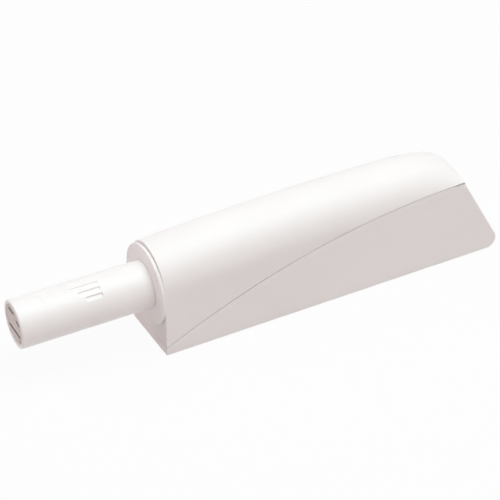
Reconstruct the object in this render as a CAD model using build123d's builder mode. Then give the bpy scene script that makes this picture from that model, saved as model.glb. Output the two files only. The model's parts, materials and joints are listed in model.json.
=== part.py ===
from build123d import *
import math
import os

os.makedirs("parts", exist_ok=True)

# Sizes are in millimetres. +X runs from the plunger's tip to the rear of the housing,
# +Z stands up from the panel that the latch is screwed to, and the origin lies midway
# between the two screw holes on the mounting face.

# Housing outline
housing_length = 59.06
rear_lean = 32.3
rear_corner_radius = 1.85
edge_round = 0.25

# Seam between the base and the cover, one long arc seen from the side
seam_front_height = 1.45
seam_rear_height = 15.85
seam_radius = 138.0
seam_gap = 0.12

# Crown line of the cover
crown_height = 20.0
crown_peak_back = 44.4
crown_radius = 548.0
crown_rear_lip = 0.95
crown_squareness = 2.4
crown_front_spans = 8
crown_rear_spans = 10
crown_least_gap = 0.35
front_round = 0.3
front_round_spans = 4
cover_wall = 1.2
cover_front_wall = 2.0
cover_rear_wall = 1.2
cut_overrun = 1.0

# Mounting base
base_wall = 1.3
barrel_side_gap = 0.13
base_rear_wall = 1.5
floor_thickness = 1.7
front_sill = 2.4
hole_spacing = 32.0
front_to_first_hole = 15.0
screw_hole_dia = 3.8
screw_head_dia = 7.0
screw_head_angle = 90.0
boss_dia = 8.6
boss_height = 3.4
cradle_thickness = 1.2
cradle_clearance = 0.3
cradle_edge_drop = 0.6
cradle_places = [0.0, 8.0]
thrust_wall_thickness = 1.5
thrust_gap = 0.3
spine_thickness = 1.0
spine_drop = 0.6
spine_bite = 0.6

# Cover fastening
peg_length = 1.1
peg_width = 2.0
peg_depth = 1.2
peg_offset = 3.7
peg_clearance = 0.1
leg_length = 2.2
leg_thickness = 1.2
leg_drop = 6.5
leg_gap = 0.6
leg_clearance = 0.15
pry_slot_length = 2.0
pry_slot_depth = 0.3
hanger_thickness = 1.2
hanger_bite = 0.4
hanger_places = [-14.0, -1.0, 12.0]

# Cartridge barrel with its collar
axis_height = 10.76
collar_width = 2.0
collar_thickness = 0.64
collar_round = 0.15
barrel_dia = 10.0
barrel_rear_space = 8.3
barrel_wall = 0.55
barrel_fit = 0.05
guide_length = 11.2
guide_clearance = 0.05
collar_groove_width = 0.2
collar_groove_depth = 0.3
clip_thickness = 0.5
clip_groove_depth = 0.3
clip_side_clearance = 0.05
clip_band = 0.42
clip_leg = 2.0

# Rear end of the cartridge
cap_spigot_length = 1.4
cap_flange_thickness = 1.0
cap_fit = 0.02
lug_length = 0.8
lug_width = 2.8
lug_height = 0.45
window_clearance = 0.05

# Plunger
plunger_inset = 0.9
plunger_reach = 22.6
plunger_stroke = 20.0
plunger_wall = 0.85
tip_wall = 0.65
tip_round = 0.25
tip_recess = 0.12
insert_length = 5.4
cushion_thickness = 0.6
cushion_boss_dia = 3.0
stop_cushion_thickness = 1.0
stop_cushion_clearance = 0.1
stop_gap = 0.3
tube_end_gap = 0.4

# Marks moulded into the plunger, seen from above and from the side
bar_lengths = [4.8, 3.75, 2.65]
bar_angles = [17.5, 33.0, 48.5]
bar_width = 0.8
bar_depth = 0.25
bar_end = 8.55
window_length = 2.6
window_width = 2.4
window_depth = 0.22
window_angle = 21.0
window_end = 18.1

# Magnet stack in the tip; the plates' sizes are those for a tip bore of plate_frame_dia
insert_face_thickness = 0.6
plate_thickness = 0.48
plate_slot_clearance = 0.05
plate_set_back = 0.06
plate_frame_dia = 6.9
lower_plate_height = -1.37
lower_plate_width = 4.75
lower_plate_offset = 0.18
upper_plate_line = [(2.1, 2.05), (-0.35, 2.05), (-0.95, 1.3), (-2.35, 0.9)]
upper_tongue_spans = [(-0.2, 2.1), (-2.35, -1.0)]
stack_depth = 4.2
magnet_inset = 0.15
magnet_bend_ease = 1.3
vent_dia = 0.45
vent_place = (-2.03, -2.2)

# Adjusting thread
nut_wall = 1.25
spindle_length = 8.5
spindle_clearance = 0.05
spindle_chamfer = 0.4
nut_length = 6.0
nut_gap = 0.6

# Cam slide that carries the heart-shaped track
slide_clearance = 0.05
slide_front = -5.0
slide_tail_space = 1.0
flange_inset = 0.07
flange_thickness = 1.5
washer_thickness = 0.25
washer_clearance = 0.1
brake_groove_place = -3.0
brake_groove_width = 1.0
brake_groove_depth = 0.5
track_flat = 0.3
track_depth = 0.8
track_width = 1.0
channel_lead = 1.6
seat_back = 2.6
seat_across = -0.1
return_points = [(0.4, 1.45), (8.0, 1.2)]
return_end_back = 12.5
return_end_share = 0.35

# Latch wire and its anchor
wire_dia = 0.7
wire_length = 23.5
wire_anchor_space = 1.5
wire_bend = 0.8
wire_rise = 1.15
wire_tip_drop = 0.25
wire_anchor_drop = 1.2
wire_swing = 4.0
wire_clearance = 0.05
wire_bend_gap = 0.2
anchor_dia = 6.6
anchor_length = 3.1
anchor_shoulder = 0.6
anchor_shoulder_height = 2.1
leaf_thickness = 0.2
leaf_width = 2.6
leaf_length = 17.0
leaf_drop = 0.45
leaf_flat = 3.6

# Main spring
spring_wire_dia = 0.6
spring_inset = 0.15
spring_turns = 12

# Places worked out from the sizes above
housing_front = -(hole_spacing / 2 + front_to_first_hole)
rear_top = housing_front + housing_length
rear_bottom = rear_top + seam_rear_height * math.tan(math.radians(rear_lean))
collar_front = housing_front - collar_thickness
barrel_bore_dia = barrel_dia - 2 * barrel_wall
collar_dia = barrel_dia + 2 * collar_width
plunger_dia = barrel_dia - 2 * plunger_inset
plunger_bore_dia = plunger_dia - 2 * plunger_wall
tip_bore_dia = plunger_dia - 2 * tip_wall
flange_dia = barrel_bore_dia - 2 * flange_inset
spring_coil_dia = barrel_bore_dia - 2 * spring_inset - spring_wire_dia
clip_inner = barrel_dia / 2 - clip_groove_depth + clip_side_clearance
inner_width = barrel_dia + 2 * barrel_side_gap
housing_width = inner_width + 2 * base_wall
half_width = housing_width / 2
barrel_end = rear_top - barrel_rear_space
cap_end = barrel_end + cap_flange_thickness
cap_front = barrel_end - cap_spigot_length
tip_face = collar_front - plunger_reach
insert_rear = tip_face + tip_recess + insert_length
guide_end = collar_front + guide_length
flange_front = guide_end + stop_cushion_thickness + stop_gap
flange_rear = flange_front + flange_thickness
tube_end = flange_front - tube_end_gap
anchor_place = cap_front - wire_anchor_space
wire_tip_place = anchor_place - wire_length
slide_radius = plunger_bore_dia / 2 - slide_clearance
slide_tail_place = wire_tip_place + slide_tail_space
pushed_place = wire_tip_place - plunger_stroke
channel_front = pushed_place - channel_lead
pushed_swing = -wire_length * math.sin(math.radians(wire_swing))
inward_path = [
    (slide_tail_place + track_width, 0.0),
    (wire_tip_place, 0.0),
    (pushed_place, pushed_swing),
]
return_path = [
    (pushed_place, pushed_swing),
    (pushed_place + seat_back, seat_across),
    *[(pushed_place + back, across) for back, across in return_points],
    (pushed_place + return_end_back, return_end_share * pushed_swing),
]
spindle_dia = plunger_bore_dia - 2 * nut_wall
plate_scale = tip_bore_dia / plate_frame_dia
lower_plate_place = (lower_plate_offset * plate_scale, axis_height + lower_plate_height * plate_scale)
lower_plate_span = lower_plate_width * plate_scale
upper_plate_bends = [(y * plate_scale, axis_height + z * plate_scale) for y, z in upper_plate_line]
upper_tongues = [(low * plate_scale, high * plate_scale) for low, high in upper_tongue_spans]
vent_center = (vent_place[0] * plate_scale, axis_height + vent_place[1] * plate_scale)
cartridge_axis = Axis((0, 0, axis_height), (1, 0, 0))
hole_places = [(-hole_spacing / 2, 0), (hole_spacing / 2, 0)]

# Centre of the seam's arc, in distance behind the front and height
seam_rise = seam_rear_height - seam_front_height
seam_chord = math.hypot(housing_length, seam_rise)
seam_tilt = math.atan2(seam_rise, housing_length)
seam_reach = math.sqrt(seam_radius**2 - (seam_chord / 2) ** 2)
seam_center_back = housing_length / 2 + seam_reach * math.sin(seam_tilt)
seam_center_height = (seam_front_height + seam_rear_height) / 2 - seam_reach * math.cos(seam_tilt)


def seam_line(back):
    # Height of the seam at a distance behind the housing's front
    return seam_center_height + math.sqrt(seam_radius**2 - (back - seam_center_back) ** 2)


def crown_line(back):
    # Height of the cover's top line: a long shallow arc that rolls over at the rear
    if back <= crown_peak_back:
        return crown_height - (crown_peak_back - back) ** 2 / (2 * crown_radius)
    low = seam_rear_height + crown_rear_lip
    share = min(1.0, (back - crown_peak_back) / (housing_length - crown_peak_back))
    return low + (crown_height - low) * (1 - share**crown_squareness) ** (1 / crown_squareness)


def cover_section(back, inset, foot):
    # One cross-section of the cover: upright sides that run into the crown's arc
    top = crown_line(back)
    shoulder = max(seam_line(back), top - half_width)
    rise = top - shoulder
    radius = (half_width**2 + rise**2) / (2 * rise)
    center = top - radius
    side = half_width - inset
    side_top = center + math.sqrt(max(0.0, (radius - inset) ** 2 - side**2))
    with BuildSketch() as section:
        with BuildLine():
            Line((-side, foot), (side, foot))
            Line((side, foot), (side, side_top))
            ThreePointArc((side, side_top), (0, top - inset), (-side, side_top))
            Line((-side, side_top), (-side, foot))
        make_face()
    return section.sketch


def front_easing(back):
    # How far the outline stays in at the front edge, which is a quarter round
    return front_round - math.sqrt(front_round**2 - max(0.0, front_round - back) ** 2)


def cover_stations(start, end):
    # Distances behind the front at which the cover's sections stand, closer where it rolls over
    step = crown_peak_back / crown_front_spans
    backs = [step * count for count in range(crown_front_spans + 1)]
    for count in range(1, crown_rear_spans + 1):
        turn = math.pi / 2 * count / crown_rear_spans
        backs.append(crown_peak_back + (housing_length - crown_peak_back) * math.sin(turn))
    inside = [back for back in backs if start + crown_least_gap < back < end - crown_least_gap]
    return [start] + inside + [end]


def turned_band(start, end, inner, outer, mode=Mode.ADD):
    # Rectangle in the plane of the cartridge axis, to be turned about it
    with Locations(((start + end) / 2, axis_height + (inner + outer) / 2)):
        Rectangle(end - start, outer - inner, mode=mode)


def lane(start, end):
    # One straight lane of the track, rounded at both ends
    run = math.hypot(end[0] - start[0], end[1] - start[1])
    turn = math.degrees(math.atan2(end[1] - start[1], end[0] - start[0]))
    with Locations(((start[0] + end[0]) / 2, (start[1] + end[1]) / 2)):
        SlotCenterToCenter(run, track_width, rotation=turn)


def upper_plate_face(thickness, spans):
    # Bent strip of the upper plate seen end on, or only its stretches within the spans
    with BuildSketch() as strip:
        with BuildLine() as bend:
            Polyline(*upper_plate_bends)
        trace(bend.line, line_width=thickness)
        if spans:
            with BuildSketch(mode=Mode.INTERSECT):
                for low, high in spans:
                    with Locations(((low + high) / 2, axis_height)):
                        Rectangle(high - low, plunger_dia)
    return strip.sketch


def magnet_face(growth):
    # End face of the magnet: flat below, stepped above to follow the bent plate
    gap = plate_thickness / 2 - growth
    low = lower_plate_place[1] + gap
    right_end, first_bend, second_bend, left_end = upper_plate_bends
    left = left_end[0] + magnet_inset - growth
    right = right_end[0] + growth
    with BuildSketch() as block:
        with BuildLine():
            Polyline(
                (left, low),
                (right, low),
                (right, right_end[1] - gap),
                (first_bend[0] + magnet_inset, first_bend[1] - gap),
                (second_bend[0] + magnet_inset, second_bend[1] - magnet_bend_ease * gap),
                (left, left_end[1] - gap),
                close=True,
            )
        make_face()
    return block.sketch


def finish(piece, name):
    piece.part.label = name
    export_step(piece.part, f"parts/{name}.step")


# Mounting base: an open tray under the seam, with screw bosses, cradles and a thrust wall
with BuildPart() as mounting_base:
    with BuildSketch(Plane.XZ):
        with BuildLine():
            Line((housing_front, 0), (rear_bottom, 0))
            Line((rear_bottom, 0), (rear_top, seam_rear_height))
            ThreePointArc(
                (rear_top, seam_rear_height),
                (housing_front + housing_length / 2, seam_line(housing_length / 2)),
                (housing_front, seam_front_height),
            )
            Line((housing_front, seam_front_height), (housing_front, 0))
        outline = make_face()
        fillet(outline.vertices().sort_by(Axis.X)[-1], rear_corner_radius)
    extrude(amount=half_width, both=True)
    rear_edges = mounting_base.faces().filter_by(Axis.Y).edges()
    slope_edges = [edge for edge in rear_edges if edge.center().X > rear_top + edge_round]
    fillet([edge for edge in slope_edges if edge.center().Z > edge_round], edge_round)
    lean = math.tan(math.radians(rear_lean))
    tray_rear = rear_bottom - base_rear_wall / math.cos(math.radians(rear_lean))
    tray_top = seam_rear_height + cut_overrun
    with BuildSketch(Plane.XZ):
        with BuildLine():
            Polyline(
                (housing_front + front_sill, floor_thickness),
                (tray_rear - floor_thickness * lean, floor_thickness),
                (tray_rear - tray_top * lean, tray_top),
                (housing_front + front_sill, tray_top),
                close=True,
            )
        make_face()
    extrude(amount=half_width - base_wall, both=True, mode=Mode.SUBTRACT)
    with BuildSketch(Plane.XY.offset(floor_thickness)):
        with Locations(*hole_places):
            Circle(boss_dia / 2)
    extrude(amount=boss_height - floor_thickness)
    with BuildSketch(Plane.XY.offset(floor_thickness)):
        Rectangle(hole_spacing, spine_thickness)
    extrude(amount=boss_height - floor_thickness - spine_drop)
    for place in cradle_places:
        cradle_top = min(seam_line(place - housing_front) - cradle_edge_drop, axis_height)
        with BuildSketch(Plane.YZ.offset(place - cradle_thickness / 2)):
            with Locations((0, (floor_thickness + cradle_top) / 2)):
                Rectangle(inner_width, cradle_top - floor_thickness)
            with Locations((0, axis_height)):
                Circle(barrel_dia / 2 + cradle_clearance, mode=Mode.SUBTRACT)
        extrude(amount=cradle_thickness)
    thrust_top = seam_line(cap_end - housing_front) - cradle_edge_drop
    with BuildSketch(Plane.YZ.offset(cap_end + thrust_gap)):
        with Locations((0, (floor_thickness + thrust_top) / 2)):
            Rectangle(inner_width, thrust_top - floor_thickness)
    extrude(amount=thrust_wall_thickness)
    spine_start = cap_end + thrust_gap + thrust_wall_thickness / 2
    spine_rear = tray_rear + spine_bite
    with BuildSketch(Plane.XZ):
        with BuildLine():
            Polyline(
                (spine_start, floor_thickness),
                (spine_rear - floor_thickness * lean, floor_thickness),
                (spine_rear - axis_height * lean, axis_height),
                (spine_start, axis_height),
                close=True,
            )
        make_face()
    extrude(amount=spine_thickness / 2, both=True)
    with Locations(*[(x, y, boss_height) for x, y in hole_places]):
        CounterSinkHole(screw_hole_dia / 2, screw_head_dia / 2, counter_sink_angle=screw_head_angle)
    socket_size = (peg_length + 2 * peg_clearance, peg_width + 2 * peg_clearance)
    socket_top = seam_line(front_sill)
    peg_place = housing_front + cover_front_wall / 2
    socket_floor = seam_line(cover_front_wall / 2) - peg_depth - peg_clearance
    with BuildSketch(Plane.XY.offset(socket_floor)):
        with Locations((peg_place, peg_offset), (peg_place, -peg_offset)):
            Rectangle(*socket_size)
    extrude(amount=socket_top - socket_floor, mode=Mode.SUBTRACT)
    with BuildSketch(Plane.XZ):
        with Locations((rear_top - pry_slot_length / 2, seam_rear_height)):
            Rectangle(pry_slot_length, 2 * pry_slot_depth)
    extrude(amount=half_width, both=True, mode=Mode.SUBTRACT)
finish(mounting_base, "mounting_base")

# Cover: an arched shell that carries the cartridge and drops onto the base
with BuildPart() as housing_cover:
    easing_turns = [math.pi / 2 * count / front_round_spans for count in range(front_round_spans)]
    eased_backs = [front_round * (1 - math.cos(turn)) for turn in easing_turns]
    for back in eased_backs + cover_stations(front_round, housing_length):
        with BuildSketch(Plane.YZ.offset(housing_front + back)):
            add(cover_section(back, front_easing(back), 0))
    loft(ruled=True)
    for back in cover_stations(cover_front_wall, housing_length - cover_rear_wall):
        with BuildSketch(Plane.YZ.offset(housing_front + back)):
            add(cover_section(back, cover_wall, -cut_overrun))
    loft(ruled=True, mode=Mode.SUBTRACT)
    for place in hanger_places:
        with BuildSketch(Plane.YZ.offset(place - hanger_thickness / 2)):
            add(cover_section(place - housing_front, cover_wall - hanger_bite, 0))
            with Locations((0, axis_height)):
                Circle(barrel_dia / 2 + barrel_fit, mode=Mode.SUBTRACT)
        extrude(amount=hanger_thickness)
    with BuildSketch(Plane.XZ):
        with BuildLine():
            ThreePointArc(
                (rear_top, seam_rear_height + seam_gap),
                (housing_front + housing_length / 2, seam_line(housing_length / 2) + seam_gap),
                (housing_front, seam_front_height + seam_gap),
            )
            Polyline(
                (housing_front, seam_front_height + seam_gap),
                (housing_front - cut_overrun, seam_front_height + seam_gap),
                (housing_front - cut_overrun, -cut_overrun),
                (rear_top + cut_overrun, -cut_overrun),
                (rear_top + cut_overrun, seam_rear_height + seam_gap),
                (rear_top, seam_rear_height + seam_gap),
            )
        make_face()
    extrude(amount=half_width, both=True, mode=Mode.SUBTRACT)
    leg_outer = half_width - base_wall - leg_clearance
    leg_place = cap_end + thrust_gap + thrust_wall_thickness + leg_gap
    leg_top = seam_line(leg_place - housing_front) + cover_wall
    for side in (1, -1):
        with BuildSketch(Plane.XY.offset(leg_top - leg_drop)):
            with Locations((leg_place + leg_length / 2, side * (leg_outer - leg_thickness / 2))):
                Rectangle(leg_length, leg_thickness)
        extrude(amount=leg_drop)
    peg_foot = seam_line(cover_front_wall / 2) - peg_depth
    with BuildSketch(Plane.XY.offset(peg_foot)):
        with Locations((peg_place, peg_offset), (peg_place, -peg_offset)):
            Rectangle(peg_length, peg_width)
    extrude(amount=axis_height - barrel_dia / 2 - peg_foot)
    with BuildSketch(Plane.YZ.offset(housing_front)):
        with Locations((0, axis_height)):
            Circle(barrel_dia / 2 + barrel_fit)
    extrude(amount=cover_front_wall, mode=Mode.SUBTRACT)
    with BuildSketch(Plane.YZ.offset(housing_front + cover_front_wall)):
        with Locations((0, axis_height)):
            Circle(clip_inner + clip_band + clip_side_clearance)
    extrude(amount=clip_thickness + 2 * clip_side_clearance, mode=Mode.SUBTRACT)
finish(housing_cover, "housing_cover")

# Cartridge barrel: collar, guide bore for the plunger and a wider spring chamber
with BuildPart() as cartridge_barrel:
    guide_radius = plunger_dia / 2 + guide_clearance
    with BuildSketch(Plane.XZ):
        turned_band(collar_front, housing_front, guide_radius, collar_dia / 2)
        turned_band(housing_front, barrel_end, guide_radius, barrel_dia / 2)
        turned_band(guide_end, barrel_end, guide_radius, barrel_bore_dia / 2, Mode.SUBTRACT)
        groove_start = housing_front - collar_groove_width
        groove_radius = collar_dia / 2 - collar_groove_depth
        turned_band(groove_start, housing_front, groove_radius, collar_dia / 2, Mode.SUBTRACT)
        clip_start = housing_front + cover_front_wall + clip_side_clearance
        clip_end = clip_start + clip_thickness
        turned_band(
            clip_start - clip_side_clearance,
            clip_end + clip_side_clearance,
            barrel_dia / 2 - clip_groove_depth,
            barrel_dia / 2,
            Mode.SUBTRACT,
        )
    revolve(axis=cartridge_axis)
    fillet(cartridge_barrel.faces().sort_by(Axis.X)[0].outer_wire().edges(), collar_round)
    lug_center = cap_front + lug_length / 2 + window_clearance
    with BuildSketch(Plane.XY.offset(axis_height)):
        with Locations((lug_center, 0)):
            Rectangle(lug_length + 2 * window_clearance, lug_width + 2 * window_clearance)
    extrude(amount=barrel_dia / 2, both=True, mode=Mode.SUBTRACT)
finish(cartridge_barrel, "cartridge_barrel")

# Clip: a flat spring-steel U in the barrel's groove, behind the cover's front wall
with BuildPart() as barrel_clip:
    with BuildSketch(Plane.YZ.offset(clip_start)):
        with Locations((0, axis_height)):
            Circle(clip_inner + clip_band)
            with Locations((0, clip_leg / 2)):
                Rectangle(2 * (clip_inner + clip_band), clip_leg)
            Circle(clip_inner, mode=Mode.SUBTRACT)
            with Locations((0, clip_leg)):
                Rectangle(2 * clip_inner, 2 * clip_leg, mode=Mode.SUBTRACT)
            with Locations((0, clip_leg + clip_inner)):
                Rectangle(4 * clip_inner, 2 * clip_inner, mode=Mode.SUBTRACT)
    extrude(amount=clip_thickness)
finish(barrel_clip, "barrel_clip")

# Cap that closes the barrel's rear and snaps into its two windows
with BuildPart() as barrel_end_cap:
    with BuildSketch(Plane.XZ):
        turned_band(cap_front, barrel_end, 0, barrel_bore_dia / 2 - cap_fit)
        turned_band(barrel_end, cap_end, 0, barrel_dia / 2)
    revolve(axis=cartridge_axis)
    with BuildSketch(Plane.XY.offset(axis_height)):
        with Locations((lug_center, 0)):
            Rectangle(lug_length, lug_width)
    extrude(amount=barrel_bore_dia / 2 + lug_height, both=True)
    fillet(barrel_end_cap.faces().sort_by(Axis.X)[-1].outer_wire().edges(), collar_round)
finish(barrel_end_cap, "barrel_end_cap")

# Plunger tube with its open tip, three stepped marks and a shallow window
with BuildPart() as plunger_tube:
    with BuildSketch(Plane.XZ):
        turned_band(tip_face, tube_end, plunger_bore_dia / 2, plunger_dia / 2)
        turned_band(tip_face, insert_rear, plunger_bore_dia / 2, tip_bore_dia / 2, Mode.SUBTRACT)
    revolve(axis=cartridge_axis)
    fillet(plunger_tube.faces().sort_by(Axis.X)[0].outer_wire().edges(), tip_round)
    plunger_radius = plunger_dia / 2
    for bar_length, bar_angle in zip(bar_lengths, bar_angles):
        bar_place = collar_front - bar_end - bar_length / 2
        with Locations(Location((bar_place, 0, axis_height), (bar_angle, 0, 0))):
            with Locations((0, 0, plunger_radius)):
                Box(bar_length, bar_width, 2 * bar_depth, mode=Mode.SUBTRACT)
    window_place = collar_front - window_end - window_length / 2
    with Locations(Location((window_place, 0, axis_height), (window_angle, 0, 0))):
        with Locations((0, 0, plunger_radius)):
            Box(window_length, window_width, 2 * window_depth, mode=Mode.SUBTRACT)
finish(plunger_tube, "plunger_tube")

# Insert that closes the tip and frames the magnet stack behind two slots
with BuildPart() as tip_insert:
    insert_front = tip_face + tip_recess
    insert_radius = tip_bore_dia / 2 - cap_fit
    with BuildSketch(Plane.YZ.offset(insert_front)):
        with Locations((0, axis_height)):
            Circle(insert_radius)
    extrude(amount=insert_length)
    stack_front = insert_front + insert_face_thickness
    stack_rear = stack_front + stack_depth
    slot_height = plate_thickness + 2 * plate_slot_clearance
    with BuildSketch(Plane.YZ.offset(insert_front)):
        with Locations(lower_plate_place):
            Rectangle(lower_plate_span + 2 * plate_slot_clearance, slot_height)
        add(upper_plate_face(slot_height, upper_tongues))
        with Locations(vent_center):
            Circle(vent_dia / 2)
    extrude(amount=insert_face_thickness, mode=Mode.SUBTRACT)
    with BuildSketch(Plane.YZ.offset(stack_front)):
        add(magnet_face(plate_slot_clearance))
        with Locations(lower_plate_place):
            Rectangle(lower_plate_span + 2 * plate_slot_clearance, slot_height)
        add(upper_plate_face(slot_height, []))
    extrude(amount=insert_length, mode=Mode.SUBTRACT)
finish(tip_insert, "tip_insert")

# Magnet block, stepped along its top under the bent plate
with BuildPart() as magnet:
    with BuildSketch(Plane.YZ.offset(stack_front)):
        add(magnet_face(0))
    extrude(amount=stack_depth)
finish(magnet, "magnet")

# Two steel plates that carry the magnet's pull to the tip
with BuildPart() as upper_pole_plate:
    with BuildSketch(Plane.YZ.offset(stack_front)):
        add(upper_plate_face(plate_thickness, []))
    extrude(amount=stack_depth)
    with BuildSketch(Plane.YZ.offset(insert_front + plate_set_back)):
        add(upper_plate_face(plate_thickness, upper_tongues))
    extrude(amount=insert_face_thickness - plate_set_back)
finish(upper_pole_plate, "upper_pole_plate")

with BuildPart() as lower_pole_plate:
    with BuildSketch(Plane.YZ.offset(insert_front + plate_set_back)):
        with Locations(lower_plate_place):
            Rectangle(lower_plate_span, plate_thickness)
    extrude(amount=stack_rear - insert_front - plate_set_back)
finish(lower_pole_plate, "lower_pole_plate")

# Rubber disc that presses the magnet stack forwards
with BuildPart() as magnet_cushion:
    with BuildSketch(Plane.XZ):
        turned_band(insert_rear, insert_rear + cushion_thickness, 0, plunger_bore_dia / 2 - cap_fit)
        turned_band(stack_rear, insert_rear, 0, cushion_boss_dia / 2)
    revolve(axis=cartridge_axis)
finish(magnet_cushion, "magnet_cushion")

# Nut pressed into the plunger tube; turning the tube on the spindle sets the front gap
with BuildPart() as adjusting_nut:
    nut_front = insert_rear + cushion_thickness + nut_gap
    with BuildSketch(Plane.XZ):
        nut_bore = spindle_dia / 2 + spindle_clearance
        turned_band(nut_front, nut_front + nut_length, nut_bore, plunger_bore_dia / 2 - cap_fit)
    revolve(axis=cartridge_axis)
finish(adjusting_nut, "adjusting_nut")

# Cam slide: spindle, brake groove, spring flange and the heart-shaped track on a flat
with BuildPart() as cam_slide:
    body_front = collar_front + slide_front
    brake_front = collar_front + brake_groove_place
    with BuildSketch(Plane.XZ):
        turned_band(body_front - spindle_length, body_front, 0, spindle_dia / 2)
        turned_band(body_front, slide_tail_place, 0, slide_radius)
        turned_band(flange_front, flange_rear, 0, flange_dia / 2)
        turned_band(
            brake_front,
            brake_front + brake_groove_width,
            slide_radius - brake_groove_depth,
            slide_radius,
            Mode.SUBTRACT,
        )
    revolve(axis=cartridge_axis)
    chamfer(cam_slide.faces().sort_by(Axis.X)[0].edges(), spindle_chamfer)
    with BuildSketch(Plane.YZ.offset(channel_front)):
        with Locations((0, axis_height)):
            Circle(plunger_bore_dia / 2)
            with Locations((0, track_flat - plunger_bore_dia / 2)):
                Rectangle(plunger_bore_dia, plunger_bore_dia, mode=Mode.SUBTRACT)
    extrude(amount=slide_tail_place - channel_front, mode=Mode.SUBTRACT)
    with BuildSketch(Plane.XY.offset(axis_height + track_flat)):
        for path in (inward_path, return_path):
            for start, end in zip(path, path[1:]):
                lane(start, end)
    extrude(amount=-track_depth, mode=Mode.SUBTRACT)
finish(cam_slide, "cam_slide")

# Brake ring that keeps the adjusted plunger from turning by itself
with BuildPart() as brake_ring:
    with BuildSketch(Plane.XZ):
        turned_band(
            brake_front,
            brake_front + brake_groove_width,
            slide_radius - brake_groove_depth,
            slide_radius,
        )
    revolve(axis=cartridge_axis)
finish(brake_ring, "brake_ring")

# Soft ring at the end of the guide bore, where the flange lands when the plunger springs out
with BuildPart() as stop_cushion:
    with BuildSketch(Plane.XZ):
        cushion_inner = plunger_dia / 2 + stop_cushion_clearance
        cushion_outer = barrel_bore_dia / 2 - cap_fit
        turned_band(guide_end, guide_end + stop_cushion_thickness, cushion_inner, cushion_outer)
    revolve(axis=cartridge_axis)
finish(stop_cushion, "stop_cushion")

# Steel washer between the spring and the flange
with BuildPart() as spring_washer:
    with BuildSketch(Plane.XZ):
        washer_inner = slide_radius + washer_clearance
        turned_band(flange_rear, flange_rear + washer_thickness, washer_inner, flange_dia / 2)
    revolve(axis=cartridge_axis)
finish(spring_washer, "spring_washer")

# Anchor block on the end cap that holds the latch wire and the leaf
with BuildPart() as wire_anchor:
    anchor_front = cap_front - anchor_length
    block_top = wire_rise - wire_dia / 2 - wire_bend_gap
    with BuildSketch(Plane.YZ.offset(anchor_front)):
        with Locations((0, axis_height)):
            Circle(anchor_dia / 2)
            with Locations((0, block_top + anchor_dia / 2)):
                Rectangle(anchor_dia, anchor_dia, mode=Mode.SUBTRACT)
    extrude(amount=anchor_length)
    with BuildSketch(Plane.YZ.offset(cap_front - anchor_shoulder)):
        with Locations((0, axis_height)):
            Circle(anchor_dia / 2)
            with Locations((0, anchor_shoulder_height + anchor_dia / 2)):
                Rectangle(anchor_dia, anchor_dia, mode=Mode.SUBTRACT)
    extrude(amount=anchor_shoulder)
    with BuildSketch(Plane.XY.offset(axis_height + block_top)):
        with Locations((anchor_place, 0)):
            Circle(wire_dia / 2 + wire_clearance)
    extrude(amount=-(block_top + wire_anchor_drop + wire_clearance), mode=Mode.SUBTRACT)
finish(wire_anchor, "wire_anchor")

# Latch wire: its rear end turns in the anchor and its front end runs in the track
with BuildPart() as latch_wire:
    with BuildLine(Plane.XZ) as wire_route:
        FilletPolyline(
            (wire_tip_place, axis_height - wire_tip_drop),
            (wire_tip_place, axis_height + wire_rise),
            (anchor_place, axis_height + wire_rise),
            (anchor_place, axis_height - wire_anchor_drop),
            radius=wire_bend,
        )
    with BuildSketch(Plane(origin=wire_route.line @ 0, z_dir=wire_route.line % 0)):
        Circle(wire_dia / 2)
    sweep()
finish(latch_wire, "latch_wire")

# Leaf spring that holds the wire down in the track
with BuildPart() as pressure_leaf:
    leaf_height = axis_height + anchor_shoulder_height
    with BuildSketch(Plane.XZ):
        with BuildLine():
            Polyline(
                (cap_front, leaf_height),
                (cap_front - leaf_flat, leaf_height),
                (cap_front - leaf_length, leaf_height - leaf_drop),
                (cap_front - leaf_length, leaf_height - leaf_drop + leaf_thickness),
                (cap_front - leaf_flat, leaf_height + leaf_thickness),
                (cap_front, leaf_height + leaf_thickness),
                close=True,
            )
        make_face()
    extrude(amount=leaf_width / 2, both=True)
finish(pressure_leaf, "pressure_leaf")

# Main spring around the cam slide, from the washer to the end cap
with BuildPart() as main_spring:
    spring_start = flange_rear + washer_thickness + spring_wire_dia / 2
    spring_rise = cap_front - spring_wire_dia / 2 - spring_start
    with BuildLine() as spring_route:
        Helix(
            pitch=spring_rise / spring_turns,
            height=spring_rise,
            radius=spring_coil_dia / 2,
            center=(spring_start, 0, axis_height),
            direction=(1, 0, 0),
        )
    with BuildSketch(Plane(origin=spring_route.line @ 0, z_dir=spring_route.line % 0)):
        Circle(spring_wire_dia / 2)
    sweep(is_frenet=True)
finish(main_spring, "main_spring")
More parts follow.
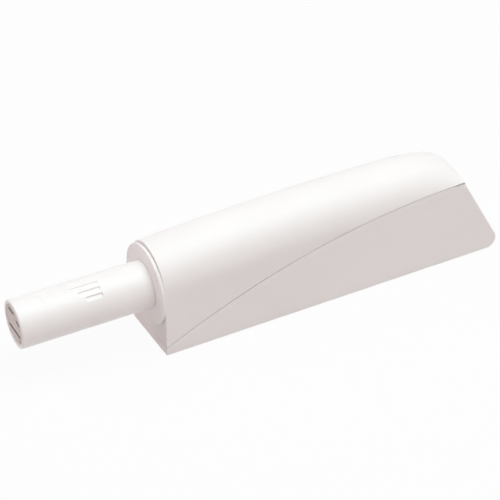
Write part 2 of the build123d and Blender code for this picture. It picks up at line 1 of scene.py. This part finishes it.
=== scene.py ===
import json
import math
import bmesh
import bpy
import numpy as np
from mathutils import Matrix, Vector


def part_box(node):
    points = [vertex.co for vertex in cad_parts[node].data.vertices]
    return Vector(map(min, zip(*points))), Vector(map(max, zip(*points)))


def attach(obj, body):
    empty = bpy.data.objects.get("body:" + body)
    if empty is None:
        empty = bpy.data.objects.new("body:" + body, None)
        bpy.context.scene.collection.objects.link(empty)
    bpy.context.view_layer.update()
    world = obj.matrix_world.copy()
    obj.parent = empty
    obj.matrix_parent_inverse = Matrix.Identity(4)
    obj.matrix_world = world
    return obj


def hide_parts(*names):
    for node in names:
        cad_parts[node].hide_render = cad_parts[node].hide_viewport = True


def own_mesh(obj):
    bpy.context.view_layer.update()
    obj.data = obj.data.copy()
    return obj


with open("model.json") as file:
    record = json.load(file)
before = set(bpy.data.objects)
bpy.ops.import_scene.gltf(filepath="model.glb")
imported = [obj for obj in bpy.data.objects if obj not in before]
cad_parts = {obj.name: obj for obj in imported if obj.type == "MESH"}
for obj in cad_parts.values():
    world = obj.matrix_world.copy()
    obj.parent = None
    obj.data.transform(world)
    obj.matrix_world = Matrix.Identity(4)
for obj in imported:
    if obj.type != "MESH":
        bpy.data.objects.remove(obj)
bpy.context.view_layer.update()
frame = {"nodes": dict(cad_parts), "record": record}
mm = 0.001

# Places read from the frame, in metres
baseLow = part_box("mounting_base")[0]
coverLow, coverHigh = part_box("housing_cover")
tubeLow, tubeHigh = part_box("plunger_tube")
barrelLow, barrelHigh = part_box("cartridge_barrel")
springLow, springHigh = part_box("main_spring")
axisHeight = (barrelLow[2] + barrelHigh[2]) / 2

# The same in millimetres, in which the pieces below are worked out
axis = axisHeight / mm
front = coverLow[0] / mm
length = (coverHigh[0] - coverLow[0]) / mm
width = (coverHigh[1] - coverLow[1]) / 2 / mm
print("frame loaded, housing length", round(length, 2), "mm")


# Node helpers
def newMaterial(name):
    material = bpy.data.materials.new(name)
    material.use_nodes = True
    material.node_tree.nodes.clear()
    return material, material.node_tree.nodes, material.node_tree.links


def newShader(nodes, links):
    # A shader that is joined to its material's output
    output = nodes.new("ShaderNodeOutputMaterial")
    shader = nodes.new("ShaderNodeBsdfPrincipled")
    links.new(shader.outputs["BSDF"], output.inputs["Surface"])
    return shader


def noiseLayer(nodes, links, scale, detail, stretch=(1, 1, 1)):
    # 3-D noise on the piece's own coordinates, scale in cycles per metre
    coords = nodes.new("ShaderNodeTexCoord")
    mapping = nodes.new("ShaderNodeMapping")
    mapping.inputs["Scale"].default_value = stretch
    noise = nodes.new("ShaderNodeTexNoise")
    noise.inputs["Scale"].default_value = scale
    noise.inputs["Detail"].default_value = detail
    links.new(coords.outputs["Object"], mapping.inputs["Vector"])
    links.new(mapping.outputs["Vector"], noise.inputs["Vector"])
    return noise.outputs["Fac"]


def addTone(nodes, links, source, shader, places, colours):
    # Turns a 0-1 value into the base colour, from the first colour to the second between two places
    ramp = nodes.new("ShaderNodeValToRGB")
    for element, place, colour in zip(ramp.color_ramp.elements, places, colours):
        element.position = place
        element.color = (*colour, 1)
    links.new(source, ramp.inputs["Fac"])
    links.new(ramp.outputs["Color"], shader.inputs["Base Color"])


def addSheen(nodes, links, source, shader, places, roughness, spread):
    # The same for the roughness, from one end of its spread to the other
    sheen = nodes.new("ShaderNodeMapRange")
    for end, place, change in zip(("Min", "Max"), places, spread):
        sheen.inputs["From " + end].default_value = place
        sheen.inputs["To " + end].default_value = roughness + change
    links.new(source, sheen.inputs["Value"])
    links.new(sheen.outputs["Result"], shader.inputs["Roughness"])


def addBump(nodes, links, source, shader, strength, height):
    bump = nodes.new("ShaderNodeBump")
    bump.inputs["Strength"].default_value = strength
    bump.inputs["Distance"].default_value = height * mm
    links.new(source, bump.inputs["Height"])
    links.new(bump.outputs["Normal"], shader.inputs["Normal"])


def shade(colour, factor):
    return tuple(min(1.0, channel * factor) for channel in colour)


noiseSpread = (0.3, 0.7)  # nearly all of the noise lies between these
mouldedPlastics = {
    "housing_plastic": dict(
        colour=(0.905, 0.862, 0.852), roughness=0.46, mottle=0.012,
        grain=5200, grainHeight=0.010, flow=90,
    ),
    "cartridge_plastic": dict(
        colour=(0.905, 0.865, 0.855), roughness=0.40, mottle=0.010,
        grain=6800, grainHeight=0.006, flow=120,
    ),
    "plunger_plastic": dict(
        colour=(0.915, 0.877, 0.867), roughness=0.36, mottle=0.010,
        grain=7400, grainHeight=0.005, flow=140,
    ),
    "insert_plastic": dict(
        colour=(0.66, 0.585, 0.555), roughness=0.55, mottle=0.03,
        grain=6200, grainHeight=0.012, flow=260,
    ),
    "slide_plastic": dict(
        colour=(0.74, 0.72, 0.68), roughness=0.34, mottle=0.015,
        grain=7000, grainHeight=0.005, flow=150,
    ),
}
allPlastics = dict(
    flowDetail=3, flowStretch=(0.45, 1, 1), grainDetail=4, sheenSpread=(-0.05, 0.06), bump=0.35,
    ior=1.48, scatter=0.12, scatterColour=(1.0, 0.92, 0.88), scatterDepth=0.6,
)


def mouldedPlastic(name, colour, roughness, mottle, grain, grainHeight, flow):
    # Injection-moulded plastic: faint flow mottling in the colour, uneven sheen and a spark-eroded grain
    shared = allPlastics
    material, nodes, links = newMaterial(name)
    shader = newShader(nodes, links)
    flowNoise = noiseLayer(nodes, links, flow, shared["flowDetail"], shared["flowStretch"])
    grainNoise = noiseLayer(nodes, links, grain, shared["grainDetail"])
    tones = shade(colour, 1 - mottle), shade(colour, 1 + mottle)
    addTone(nodes, links, flowNoise, shader, noiseSpread, tones)
    addSheen(nodes, links, grainNoise, shader, noiseSpread, roughness, shared["sheenSpread"])
    addBump(nodes, links, grainNoise, shader, shared["bump"], grainHeight)
    shader.inputs["IOR"].default_value = shared["ior"]
    shader.inputs["Subsurface Weight"].default_value = shared["scatter"]
    shader.inputs["Subsurface Radius"].default_value = shared["scatterColour"]
    shader.inputs["Subsurface Scale"].default_value = shared["scatterDepth"] * mm
    return material


brushedSteels = {
    "pole_steel": dict(
        colour=(0.055, 0.047, 0.042), roughness=0.52, metallic=0.55,
        scratches=2600, along=(0.08, 1, 1),
    ),
    "magnet_plating": dict(
        colour=(0.50, 0.49, 0.48), roughness=0.28, metallic=1.0,
        scratches=1800, along=(1, 0.2, 1),
    ),
    "spring_steel": dict(
        colour=(0.56, 0.56, 0.57), roughness=0.24, metallic=1.0,
        scratches=3200, along=(0.15, 1, 1),
    ),
}
allSteels = dict(
    detail=5, darker=0.86, lighter=1.1, sheenPlaces=(0, 1), sheenSpread=(-0.07, 0.12),
    bump=0.3, scratchHeight=0.004,
)


def brushedSteel(name, colour, roughness, metallic, scratches, along):
    # Drawn or rolled steel: fine lines along one way in its colour, sheen and bump
    shared = allSteels
    material, nodes, links = newMaterial(name)
    shader = newShader(nodes, links)
    lines = noiseLayer(nodes, links, scratches, shared["detail"], along)
    tones = shade(colour, shared["darker"]), shade(colour, shared["lighter"])
    addTone(nodes, links, lines, shader, noiseSpread, tones)
    addSheen(nodes, links, lines, shader, shared["sheenPlaces"], roughness, shared["sheenSpread"])
    addBump(nodes, links, lines, shader, shared["bump"], shared["scratchHeight"])
    shader.inputs["Metallic"].default_value = metallic
    return material


softRubberLook = dict(
    colours=((0.018, 0.018, 0.019), (0.040, 0.040, 0.041)), places=(0.35, 0.75),
    roughness=0.72, grain=4200, detail=5, bump=0.5, pitHeight=0.01, dust=0.15,
)


def softRubber(name):
    # Moulded rubber: matt, slightly dusty and finely pitted
    look = softRubberLook
    material, nodes, links = newMaterial(name)
    shader = newShader(nodes, links)
    pits = noiseLayer(nodes, links, look["grain"], look["detail"])
    addTone(nodes, links, pits, shader, look["places"], look["colours"])
    addBump(nodes, links, pits, shader, look["bump"], look["pitHeight"])
    shader.inputs["Roughness"].default_value = look["roughness"]
    shader.inputs["Sheen Weight"].default_value = look["dust"]
    return material


finishes = {name: mouldedPlastic(name, **look) for name, look in mouldedPlastics.items()}
finishes.update({name: brushedSteel(name, **look) for name, look in brushedSteels.items()})
finishes["soft_rubber"] = softRubber("soft_rubber")

slotOfNode = {part["node"]: part["material_slot"] for part in frame["record"]["subparts"]}
for nodeName, nodeObject in frame["nodes"].items():
    nodeObject.data.materials.clear()
    nodeObject.data.materials.append(finishes[slotOfNode[nodeName]])
print("finishes on", len(frame["nodes"]), "nodes")


# Mesh helpers
def newStore():
    return {"points": [], "quads": []}


def addGrid(store, points, closeRows=False, closeColumns=False, flip=False):
    # points is rows x columns x 3; joins neighbours with quads
    rows, columns = points.shape[:2]
    first = sum(len(block) for block in store["points"])
    index = first + np.arange(rows * columns).reshape(rows, columns)
    if closeRows:
        index = np.vstack([index, index[:1]])
    if closeColumns:
        index = np.hstack([index, index[:, :1]])
    corners = index[:-1, :-1], index[1:, :-1], index[1:, 1:], index[:-1, 1:]
    quads = np.stack(corners, axis=-1).reshape(-1, 4)
    store["points"].append(points.reshape(-1, 3))
    store["quads"].append(quads[:, ::-1] if flip else quads)


# Points closer than the first are one point, and edges shorter than the second are taken out
weldReach = 0.002 * mm
shortEdge = 0.0005 * mm


def buildPiece(name, store, slotName, body, nodesReplaced, sharpAngle):
    # Welds the surfaces of one piece, shades it smooth with sharp edges kept, and hangs it on its body
    points = np.vstack(store["points"])
    quads = np.vstack(store["quads"])
    mesh = bpy.data.meshes.new(name)
    mesh.from_pydata(points.tolist(), [], quads.tolist())
    piece = bpy.data.objects.new(name, mesh)
    bpy.context.scene.collection.objects.link(piece)
    work = bmesh.new()
    work.from_mesh(mesh)
    bmesh.ops.remove_doubles(work, verts=work.verts, dist=weldReach)
    bmesh.ops.dissolve_degenerate(work, edges=work.edges, dist=shortEdge)
    bmesh.ops.recalc_face_normals(work, faces=work.faces)
    openEdges = sum(not edge.is_manifold for edge in work.edges)
    work.to_mesh(mesh)
    work.free()
    mesh.shade_smooth()
    mesh.set_sharp_from_angle(angle=math.radians(sharpAngle))
    mesh.materials.append(finishes[slotName])
    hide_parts(*nodesReplaced)
    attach(piece, body)
    print(name, len(mesh.polygons), "faces,", openEdges, "open edges")
    return piece


def quarterRound(distance, radius):
    # How far in a rounded edge lies at a distance from its end: a quarter circle, then nothing
    away = np.clip(radius - distance, 0, radius)
    return np.where(distance < radius, radius - np.sqrt(radius ** 2 - away ** 2), 0)


def softEdge(distance, reach):
    # 0 outside, 1 inside, eased over the reach: a smooth cubic step
    share = np.clip(0.5 + distance / reach, 0, 1)
    return share * share * (3 - 2 * share)


# Cover: arched shell with its end walls, hangers, pegs and snap legs. Rows are those of a side and
# of the arch, and digits are the decimals that its stations are rounded to
coverLook = dict(
    wall=1.2, frontWall=2.0, rearWall=1.2, frontRound=0.15,
    seamFront=1.45, seamRear=15.85, seamRadius=138.0, seamGap=0.12,
    crownHeight=20.0, crownPeak=44.4, crownRadius=548.0, rearLip=0.95, squareness=2.4,
    borePlay=0.05, boreRadius=5.0,
    hangers=dict(places=(-14.0, -1.0, 12.0), thickness=1.2, bite=0.4, steepest=0.98, rows=(10, 50)),
    pegs=dict(back=1.0, side=3.7, length=1.1, width=2.0, depth=1.2, bite=0.6, chamfer=0.2),
    legs=dict(start=23.16, length=2.2, thickness=1.2, drop=6.5, outer=4.98, chamfer=0.25),
    roundStations=6, frontStations=70, rearStations=64, rows=(14, 72), footColumns=27,
    digits=6, sharpAngle=35,
)


def seamHeight(back):
    # Circle through the seam's front and rear ends, flattest towards the rear
    look = coverLook
    rise = look["seamRear"] - look["seamFront"]
    tilt = math.atan2(rise, length)
    reach = math.sqrt(look["seamRadius"] ** 2 - (math.hypot(length, rise) / 2) ** 2)
    middleBack = length / 2 + reach * math.sin(tilt)
    middleHeight = (look["seamFront"] + look["seamRear"]) / 2 - reach * math.cos(tilt)
    return middleHeight + np.sqrt(look["seamRadius"] ** 2 - (back - middleBack) ** 2)


def rimHeight(back):
    # Lower edge of the cover, a gap above the seam
    return seamHeight(back) + coverLook["seamGap"]


def crownHeightAt(back):
    # Shallow parabola up to the peak, then a superellipse that rolls over to the rear lip
    look = coverLook
    low = look["seamRear"] + look["rearLip"]
    rising = look["crownHeight"] - (look["crownPeak"] - back) ** 2 / (2 * look["crownRadius"])
    share = np.clip((back - look["crownPeak"]) / (length - look["crownPeak"]), 0, 1)
    power = look["squareness"]
    falling = low + (look["crownHeight"] - low) * (1 - share ** power) ** (1 / power)
    return np.where(back <= look["crownPeak"], rising, falling)


def archPath(back, rim, inset, sideRows, archRows):
    # Section at each station: up the left side, over the arch by equal angles, down the right side.
    # The arch is a circle through both shoulders and the crown, and the section stays in by the inset
    top = crownHeightAt(back)
    rise = top - np.maximum(seamHeight(back), top - width)
    radius = (width ** 2 + rise ** 2) / (2 * rise)
    middle = top - radius
    reach = radius - inset
    sideTop = middle + np.sqrt(np.maximum(0, reach ** 2 - (width - inset) ** 2))
    sideTop = np.maximum(sideTop, rim)
    startAngle = np.arcsin(np.clip((sideTop - middle) / reach, -1, 1))[:, None]
    turn = startAngle + (math.pi - 2 * startAngle) * np.linspace(0, 1, archRows)
    archY = -reach[:, None] * np.cos(turn)
    archZ = middle[:, None] + reach[:, None] * np.sin(turn)
    climb = np.linspace(0, 1, sideRows, endpoint=False)
    sideZ = rim[:, None] + (sideTop - rim)[:, None] * climb
    sideY = np.repeat(archY[:, :1], sideRows, axis=1)
    y = np.hstack([sideY, archY, -sideY[:, ::-1]])
    z = np.hstack([sideZ, archZ, sideZ[:, ::-1]])
    return y, z


def boreRing(turn):
    # Circle about the cartridge's axis, wider than the barrel by the play
    radius = coverLook["boreRadius"] + coverLook["borePlay"]
    return radius * np.cos(turn), axis + radius * np.sin(turn)


def asPoints(back, y, z):
    # Sections as points, each at its own distance from the cover's front
    x = np.broadcast_to(front + np.asarray(back, float).reshape(-1, 1), y.shape)
    return np.stack([x, y, z], axis=-1) * mm


def coverStations():
    # Distances from the front: close together over the rounded edge, even up to the peak, then by
    # equal turns of a quarter circle to the rear, with the inner faces of both end walls among them
    look = coverLook
    frontTurn = np.linspace(0, math.pi / 2, look["roundStations"])
    rearTurn = np.linspace(0, math.pi / 2, look["rearStations"])
    eased = look["frontRound"] * (1 - np.cos(frontTurn))
    even = np.linspace(look["frontRound"], look["crownPeak"], look["frontStations"])
    rolled = look["crownPeak"] + (length - look["crownPeak"]) * np.sin(rearTurn)
    walls = [look["frontWall"], length - look["rearWall"]]
    return np.unique(np.round(np.concatenate([eased, even, rolled, walls]), look["digits"]))


def addShell(store):
    # The arched section carried along the stations as two skins, closed by rims and end walls
    look = coverLook
    backs = coverStations()
    rims = rimHeight(backs)
    wallBack = round(length - look["rearWall"], look["digits"])
    inside = (backs >= look["frontWall"]) & (backs <= wallBack)

    # outer skin, and inner skin between the front and rear walls
    outerY, outerZ = archPath(backs, rims, quarterRound(backs, look["frontRound"]), *look["rows"])
    innerY, innerZ = archPath(backs[inside], rims[inside], np.full(inside.sum(), look["wall"]), *look["rows"])
    addGrid(store, asPoints(backs, outerY, outerZ))
    addGrid(store, asPoints(backs[inside], innerY, innerZ), flip=True)

    # lower rims of both side walls
    for column in (0, -1):
        edgeY = np.stack([outerY[inside, column], innerY[:, column]], axis=1)
        edgeZ = np.stack([outerZ[inside, column], innerZ[:, column]], axis=1)
        addGrid(store, asPoints(backs[inside], edgeY, edgeZ))

    # undersides of the end walls, straight across, with the points of the wall faces that they meet
    frontFoot = (width - look["wall"]) * np.linspace(-1, 1, look["footColumns"])
    for block, foot in ((backs <= look["frontWall"], frontFoot), (backs >= wallBack, innerY[-1])):
        middle = np.broadcast_to(foot, (block.sum(), len(foot)))
        acrossY = np.hstack([outerY[block, :1], middle, outerY[block, -1:]])
        acrossZ = np.repeat(rims[block][:, None], acrossY.shape[1], axis=1)
        addGrid(store, asPoints(backs[block], acrossY, acrossZ))

    # front wall: outline to bore on its two faces, and the bore between them
    boreRings = []
    for station, y, z in ((0.0, outerY[0], outerZ[0]), (look["frontWall"], innerY[0], innerZ[0])):
        outlineY = np.concatenate([y, frontFoot[::-1]])
        outlineZ = np.concatenate([z, np.full(len(frontFoot), z[-1])])
        boreY, boreZ = boreRing(np.arctan2(outlineZ - axis, outlineY))
        face = asPoints([station, station], np.stack([outlineY, boreY]), np.stack([outlineZ, boreZ]))
        addGrid(store, face, closeColumns=True)
        boreRings.append(face[1])
    addGrid(store, np.stack(boreRings), closeColumns=True)

    # rear wall: thin lens outside, taller one inside, each down to the points of its underside
    footY = np.concatenate([outerY[-1, :1], innerY[-1], outerY[-1, -1:]])
    edgeY, edgeZ = np.pad(outerY[-1], 1, mode="edge"), np.pad(outerZ[-1], 1, mode="edge")
    faces = (length, edgeY, edgeZ, footY), (wallBack, innerY[-1], innerZ[-1], innerY[-1])
    for station, y, z, foot in faces:
        lens = np.stack([y, foot]), np.stack([z, np.full(len(z), z[0])])
        addGrid(store, asPoints([station, station], *lens))


def addHangers(store):
    # Hangers that hold the barrel, each a ring sector between the wall and the barrel's bore
    look, hangers = coverLook, coverLook["hangers"]
    for place in hangers["places"]:
        middle = np.array([place - front])
        near, far = middle - hangers["thickness"] / 2, middle + hangers["thickness"] / 2
        rim = rimHeight(middle)
        wallY, wallZ = archPath(middle, rim, np.full(1, look["wall"] - hangers["bite"]), *hangers["rows"])
        steepness = (rim[0] - axis) / (look["boreRadius"] + look["borePlay"])
        foot = math.asin(np.clip(steepness, -hangers["steepest"], hangers["steepest"]))
        ringY, ringZ = boreRing(np.linspace(math.pi - foot, foot, wallY.shape[1])[None, :])
        loop = (near, wallY, wallZ), (near, ringY, ringZ), (far, ringY, ringZ), (far, wallY, wallZ)
        sector = np.vstack([asPoints(*edge) for edge in loop])
        addGrid(store, sector, closeRows=True)
        for column in (0, -1):
            addGrid(store, sector[[0, 1, 3, 2], column].reshape(2, 2, 3))


def addBox(store, low, high, chamfer):
    # Upright block with its four lower edges eased: a stack of rectangles from the foot up
    rings = []
    for inset, height in ((chamfer, low[2]), (0, low[2] + chamfer), (0, high[2])):
        left, right = low[0] + inset, high[0] - inset
        near, far = low[1] + inset, high[1] - inset
        rings.append([(left, near, height), (right, near, height), (right, far, height), (left, far, height)])
    block = np.array(rings) * mm
    addGrid(store, block, closeColumns=True)
    for ring in (block[0], block[-1]):
        addGrid(store, ring[[0, 1, 3, 2]].reshape(2, 2, 3))


def addPegsAndLegs(store):
    # Pegs under the front wall and snap legs behind the cartridge
    pegs, legs = coverLook["pegs"], coverLook["legs"]
    pegX = front + pegs["back"]
    pegFoot = seamHeight(pegs["back"]) - pegs["depth"]
    pegTop = pegFoot + pegs["depth"] + pegs["bite"]
    legEnd = legs["start"] + legs["length"]
    legTop = seamHeight(legs["start"] - front) + coverLook["wall"]
    for side in (-1, 1):
        pegY = side * pegs["side"]
        pegLow = pegX - pegs["length"] / 2, pegY - pegs["width"] / 2, pegFoot
        pegHigh = pegX + pegs["length"] / 2, pegY + pegs["width"] / 2, pegTop
        addBox(store, pegLow, pegHigh, pegs["chamfer"])
        near, far = sorted((side * (legs["outer"] - legs["thickness"]), side * legs["outer"]))
        addBox(store, (legs["start"], near, legTop - legs["drop"]), (legEnd, far, legTop), legs["chamfer"])


def coverShell():
    store = newStore()
    addShell(store)
    addHangers(store)
    addPegsAndLegs(store)
    buildPiece("coverShell", store, "housing_plastic", "cover", ["housing_cover"], coverLook["sharpAngle"])


coverShell()


# Plunger tube: turned skin with three stepped bars and a shallow window pressed in.
# Bars and window end at a distance from the collar, and their angles are in degrees from the top
plungerLook = dict(
    radius=4.1, bore=3.25, tipBore=3.45, tipDepth=5.52, tipRound=0.25, tipBevel=0.12, tailRound=0.15,
    barEnd=8.55, barLengths=(4.8, 3.75, 2.65), barAngles=(17.5, 33.0, 48.5),
    barWidth=0.8, barDepths=(0.13, 0.19, 0.26),
    windowEnd=18.1, windowLength=2.6, windowWidth=2.4, windowDepth=0.07, windowAngle=21.0,
    edgeEase=0.05, endEase=0.16, fineReach=0.12, fineStations=9, fineDegrees=0.5, fineColumns=7,
    roundStations=7, stations=60, columns=144, stationDigits=5, angleDigits=4, sharpAngle=28,
)


def plungerMarks():
    # Middle, angle, length, width and depth of each recess
    look = plungerLook
    collar = barrelLow[0] / mm
    marks = []
    for barLength, barAngle, barDepth in zip(look["barLengths"], look["barAngles"], look["barDepths"]):
        barMiddle = collar - look["barEnd"] - barLength / 2
        marks.append((barMiddle, barAngle, barLength, look["barWidth"], barDepth))
    windowMiddle = collar - look["windowEnd"] - look["windowLength"] / 2
    windowSize = look["windowLength"], look["windowWidth"], look["windowDepth"]
    marks.append((windowMiddle, look["windowAngle"], *windowSize))
    return marks


def markDepth(x, turn, marks):
    # Each recess is deepest at its upper edge, with a floor that rises to the surface at the lower one
    look = plungerLook
    depth = np.zeros_like(x)
    for place, angle, size, across, sink in marks:
        alongStep = softEdge(size / 2 - np.abs(x - place), look["endEase"])
        offset = look["radius"] * (turn - math.radians(angle))
        upperStep = softEdge(offset + across / 2, look["edgeEase"])
        floorShare = np.clip(0.5 - offset / across, 0, 1)
        depth = np.maximum(depth, sink * alongStep * upperStep * floorShare)
    return depth


def turned(x, radius, turn):
    # Points about the cartridge's axis, with the turn from the top
    return np.stack([x, -radius * np.sin(turn), axis + radius * np.cos(turn)], axis=-1) * mm


def plungerSkin():
    # Tube's radius less the tip's quarter round and the recesses, with a finer grid over their edges
    look = plungerLook
    store = newStore()
    tip, tail = tubeLow[0] / mm, tubeHigh[0] / mm
    marks = plungerMarks()
    tipTurn = np.linspace(0, math.pi / 2, look["roundStations"])
    fineAlong = np.linspace(-look["fineReach"], look["fineReach"], look["fineStations"])
    fineAround = np.linspace(-look["fineDegrees"], look["fineDegrees"], look["fineColumns"])
    stations = [tip + look["tipRound"] * (1 - np.cos(tipTurn))]
    stations.append(np.linspace(tip + look["tipRound"], tail - look["tailRound"], look["stations"]))
    angles = [np.linspace(-180, 180, look["columns"], endpoint=False)]
    for place, angle, size, across, _ in marks:
        halfAngle = math.degrees(across / 2 / look["radius"])
        for side in (-1, 1):
            stations.append(place + side * size / 2 + fineAlong)
            angles.append(angle + side * halfAngle + fineAround)
    stations = np.unique(np.round(np.concatenate(stations), look["stationDigits"]))
    around = np.radians(np.unique(np.round(np.concatenate(angles), look["angleDigits"])))
    x, turn = np.meshgrid(stations, around, indexing="ij")
    radius = look["radius"] - quarterRound(x - tip, look["tipRound"]) - markDepth(x, turn, marks)
    skin = turned(x, radius, turn)
    addGrid(store, skin, closeColumns=True)

    # tail, bore, step and tip rim: rings of the same angles turned from a short profile
    step = tip + look["tipDepth"]
    profile = [
        (tail, look["radius"] - look["tailRound"]), (tail, look["bore"]),
        (step, look["bore"]), (step, look["tipBore"]),
        (tip + look["tipBevel"], look["tipBore"]), (tip, look["tipBore"] + look["tipBevel"]),
        (tip, look["radius"] - look["tipRound"]),
    ]
    rings = [turned(np.full_like(around, ringX), ringRadius, around) for ringX, ringRadius in profile]
    addGrid(store, np.stack([skin[-1]] + rings), closeColumns=True)
    buildPiece("plungerSkin", store, "plunger_plastic", "plunger_head", ["plunger_tube"], look["sharpAngle"])


plungerSkin()


# Main spring: round wire on a helix with closed, ground ends. The pitches fill its length by their shares
springLook = dict(
    wire=0.6, coil=8.0, turns=12, closedTurns=1.0, closedPitch=0.612, addedPitch=1.6, pitchEase=0.8,
    around=14, perTurn=40, sharpAngle=50,
)


def mainSpring():
    # Helix about X: the pitch eases from one wire thickness at the ends to the open pitch between them
    look = springLook
    store = newStore()
    wire, coil = look["wire"] / 2, look["coil"] / 2
    start, end = springLow[0] / mm + wire, springHigh[0] / mm - wire
    turns = np.linspace(0, look["turns"], look["turns"] * look["perTurn"] + 1)
    fromEnd = np.minimum(turns, look["turns"] - turns) / look["closedTurns"]
    pitch = look["closedPitch"] + look["addedPitch"] * softEdge(fromEnd - 1, look["pitchEase"])
    travel = np.concatenate([[0], np.cumsum((pitch[1:] + pitch[:-1]) / 2 * np.diff(turns))])
    along = start + (end - start) * travel / travel[-1]
    angle = 2 * math.pi * turns
    center = np.stack([along, -coil * np.sin(angle), axis + coil * np.cos(angle)], axis=-1)
    tangent = np.gradient(center, axis=0)
    tangent /= np.linalg.norm(tangent, axis=1, keepdims=True)
    outward = np.stack([np.zeros_like(angle), -np.sin(angle), np.cos(angle)], axis=-1)
    sideways = np.cross(tangent, outward)
    around = np.linspace(0, 2 * math.pi, look["around"], endpoint=False)[None, :, None]
    section = np.cos(around) * outward[:, None, :] + np.sin(around) * sideways[:, None, :]
    tube = center[:, None, :] + wire * section
    tube[..., 0] = np.clip(tube[..., 0], start - wire, end + wire)
    addGrid(store, tube * mm, closeColumns=True)
    for row in (0, -1):
        middle = np.broadcast_to(center[row], tube[row].shape)
        addGrid(store, np.stack([tube[row], middle]) * mm, closeColumns=True)
    spring = buildPiece("springCoil", store, "spring_steel", "cover", ["main_spring"], look["sharpAngle"])
    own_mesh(spring)


mainSpring()


# Camera, backdrop, floor and lamps
def placed(name, data):
    newObject = bpy.data.objects.new(name, data)
    bpy.context.scene.collection.objects.link(newObject)
    return newObject


def facing(direction):
    return direction.to_track_quat("-Z", "Y").to_euler()


cameraSettings = dict(
    place=(-0.10343, -0.16378, 0.13605), heading=29.22, dip=33.68,
    lens=95.81, sensor=36, nearest=0.005, farthest=20,
)


def photoCamera():
    settings = cameraSettings
    heading, dip = math.radians(settings["heading"]), math.radians(settings["dip"])
    viewLine = Vector((math.cos(dip) * math.sin(heading), math.cos(dip) * math.cos(heading), -math.sin(dip)))
    cameraData = bpy.data.cameras.new("photoCamera")
    cameraData.sensor_width = settings["sensor"]
    cameraData.lens = settings["lens"]
    cameraData.clip_start = settings["nearest"]
    cameraData.clip_end = settings["farthest"]
    camera = placed("photoCamera", cameraData)
    camera.location = settings["place"]
    camera.rotation_euler = facing(viewLine)
    bpy.context.scene.camera = camera


photoCamera()

studio = dict(
    ambient=(0.25, 0.135, 0.135), backdrop=(0.942, 0.938, 0.936),
    floorSize=6.0, floorDrop=0.02, floorColour=(0.75, 0.735, 0.73), whiteShare=0.93,
)


def backdropRays(nodes, links):
    # 1 for rays that see the backdrop, straight or in metal and gloss; 0 for the light that it gives
    path = nodes.new("ShaderNodeLightPath")
    seen = path.outputs["Is Camera Ray"]
    for kind in ("Is Glossy Ray", "Is Transmission Ray"):
        either = nodes.new("ShaderNodeMath")
        either.operation = "MAXIMUM"
        links.new(seen, either.inputs[0])
        links.new(path.outputs[kind], either.inputs[1])
        seen = either.outputs["Value"]
    return seen


def studioWorld():
    # Soft rosy light from all round, behind a backdrop as pale as the floor's far end
    world = bpy.data.worlds.new("studioWorld")
    bpy.context.scene.world = world
    world.use_nodes = True
    nodes, links = world.node_tree.nodes, world.node_tree.links
    nodes.clear()
    output = nodes.new("ShaderNodeOutputWorld")
    mix = nodes.new("ShaderNodeMixShader")
    links.new(backdropRays(nodes, links), mix.inputs["Fac"])
    for place, colour in ((1, studio["ambient"]), (2, studio["backdrop"])):
        background = nodes.new("ShaderNodeBackground")
        background.inputs["Color"].default_value = (*colour, 1)
        background.inputs["Strength"].default_value = 1
        links.new(background.outputs["Background"], mix.inputs[place])
    links.new(mix.outputs["Shader"], output.inputs["Surface"])


def paleFloor():
    # Pale matt sheet that looks nearly white to the camera but still takes the object's shadow
    material, nodes, links = newMaterial("paleFloor")
    output = nodes.new("ShaderNodeOutputMaterial")
    diffuse = nodes.new("ShaderNodeBsdfDiffuse")
    diffuse.inputs["Color"].default_value = (*studio["floorColour"], 1)
    glow = nodes.new("ShaderNodeEmission")
    glow.inputs["Color"].default_value = (1, 1, 1, 1)
    glow.inputs["Strength"].default_value = 1
    share = nodes.new("ShaderNodeMath")
    share.operation = "MULTIPLY"
    share.inputs[1].default_value = studio["whiteShare"]
    mix = nodes.new("ShaderNodeMixShader")
    links.new(backdropRays(nodes, links), share.inputs[0])
    links.new(share.outputs["Value"], mix.inputs["Fac"])
    links.new(diffuse.outputs["BSDF"], mix.inputs[1])
    links.new(glow.outputs["Emission"], mix.inputs[2])
    links.new(mix.outputs["Shader"], output.inputs["Surface"])
    return material


def studioFloor():
    half = studio["floorSize"] / 2
    height = baseLow[2] - studio["floorDrop"] * mm
    corners = [(-half, -half, height), (half, -half, height), (half, half, height), (-half, half, height)]
    floorMesh = bpy.data.meshes.new("studioFloor")
    floorMesh.from_pydata(corners, [], [(0, 1, 2, 3)])
    floorMesh.materials.append(paleFloor())
    floor = placed("studioFloor", floorMesh)


studioWorld()
studioFloor()

lampAim = (0, 0, 0.01)
lamps = {
    "overheadLamp": dict(place=(0.02, -0.10, 0.62), size=0.55, power=2.35, colour=(0.69, 0.985, 1.0)),
    "nearLamp": dict(place=(0.05, -0.42, 0.62), size=0.60, power=1.54, colour=(1.0, 0.945, 0.90)),
    "rearLamp": dict(place=(0.52, -0.06, 0.46), size=0.50, power=0.84, colour=(0.90, 0.97, 1.0)),
    "tipLamp": dict(place=(-0.55, 0.45, 0.55), size=0.50, power=2.25, colour=(1.0, 1.0, 1.0)),
}
for lampName, lamp in lamps.items():
    lampData = bpy.data.lights.new(lampName, "AREA")
    lampData.shape = "DISK"
    lampData.size = lamp["size"]
    lampData.energy = lamp["power"]
    lampData.color = lamp["colour"]
    lampObject = placed(lampName, lampData)
    lampObject.location = lamp["place"]
    lampObject.rotation_euler = facing(Vector(lampAim) - Vector(lamp["place"]))
bpy.context.scene.view_settings.view_transform = "Standard"
print("camera, floor and", len(lamps), "lamps set")
